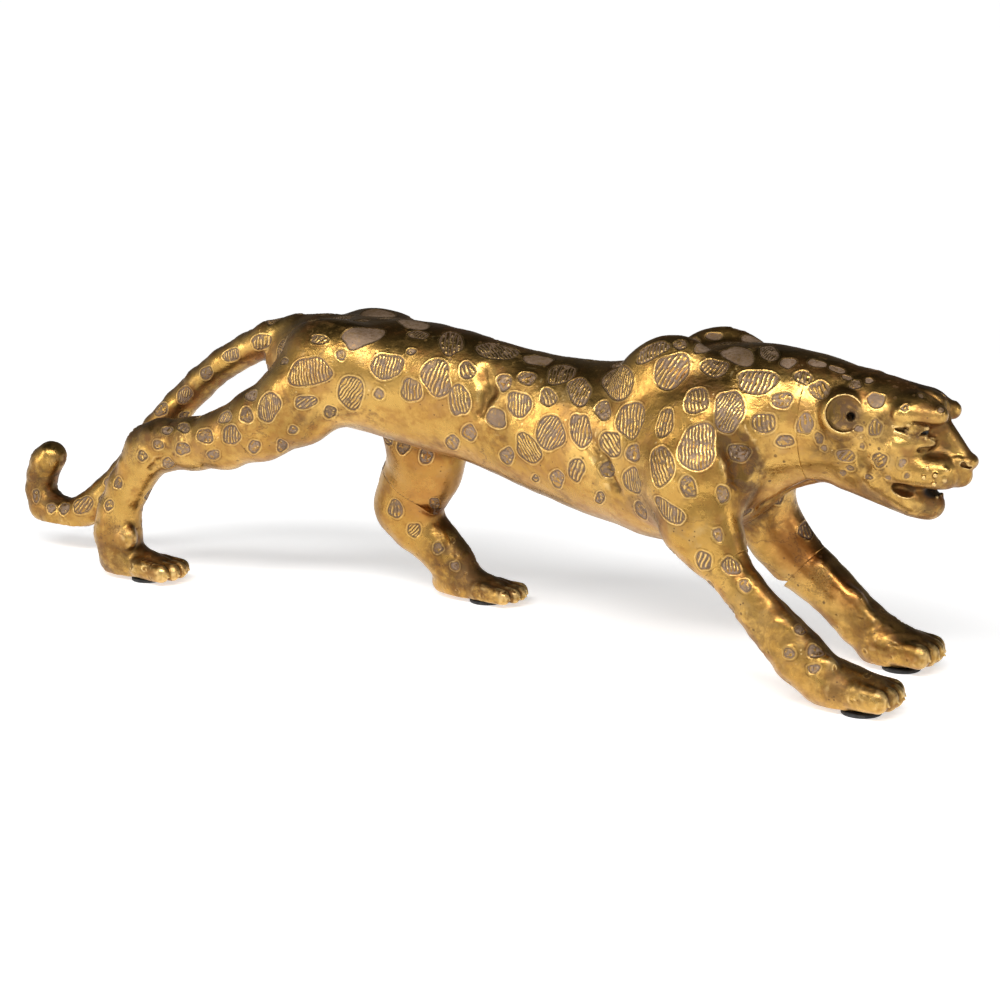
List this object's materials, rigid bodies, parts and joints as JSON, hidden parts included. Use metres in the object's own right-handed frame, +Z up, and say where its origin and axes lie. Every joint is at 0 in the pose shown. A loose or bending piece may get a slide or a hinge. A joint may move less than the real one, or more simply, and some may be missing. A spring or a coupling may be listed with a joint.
{
  "type": "leopard figurine",
  "caption": "Free-standing striding leopard figurine with long curled tail, open mouth and raised rosettes, cast in sections, gilt, on rubber foot dots.",
  "frame": {"origin": "middle of the footprint, on the plane that the rubber feet rest on", "axes": "+X the way the animal faces, nose at the far end; +Y towards the animal's left side; +Z up"},
  "size_m": [0.6112, 0.109, 0.1719],
  "materials": {
    "gilt_brass": "antiqued gold leaf over cast brass, rubbed on the high spots, brown in the hollows",
    "dowel_steel": "ground steel dowel",
    "foot_rubber": "matt black rubber"
  },
  "bodies": {
    "root": {"torso_shell": "gilt_brass", "head_casting": "gilt_brass", "foreleg_right": "gilt_brass", "foreleg_left": "gilt_brass", "hindleg_right": "gilt_brass", "hindleg_left": "gilt_brass", "tail_casting": "gilt_brass", "neck_cross_pin": "dowel_steel", "foreleg_right_dowel": "dowel_steel", "foreleg_left_dowel": "dowel_steel", "hindleg_right_dowel": "dowel_steel", "hindleg_left_dowel": "dowel_steel", "tail_dowel": "dowel_steel", "forefoot_right_pad": "foot_rubber", "forefoot_left_pad": "foot_rubber", "hindfoot_right_pad": "foot_rubber", "hindfoot_left_pad": "foot_rubber"}
  },
  "joints": []
}
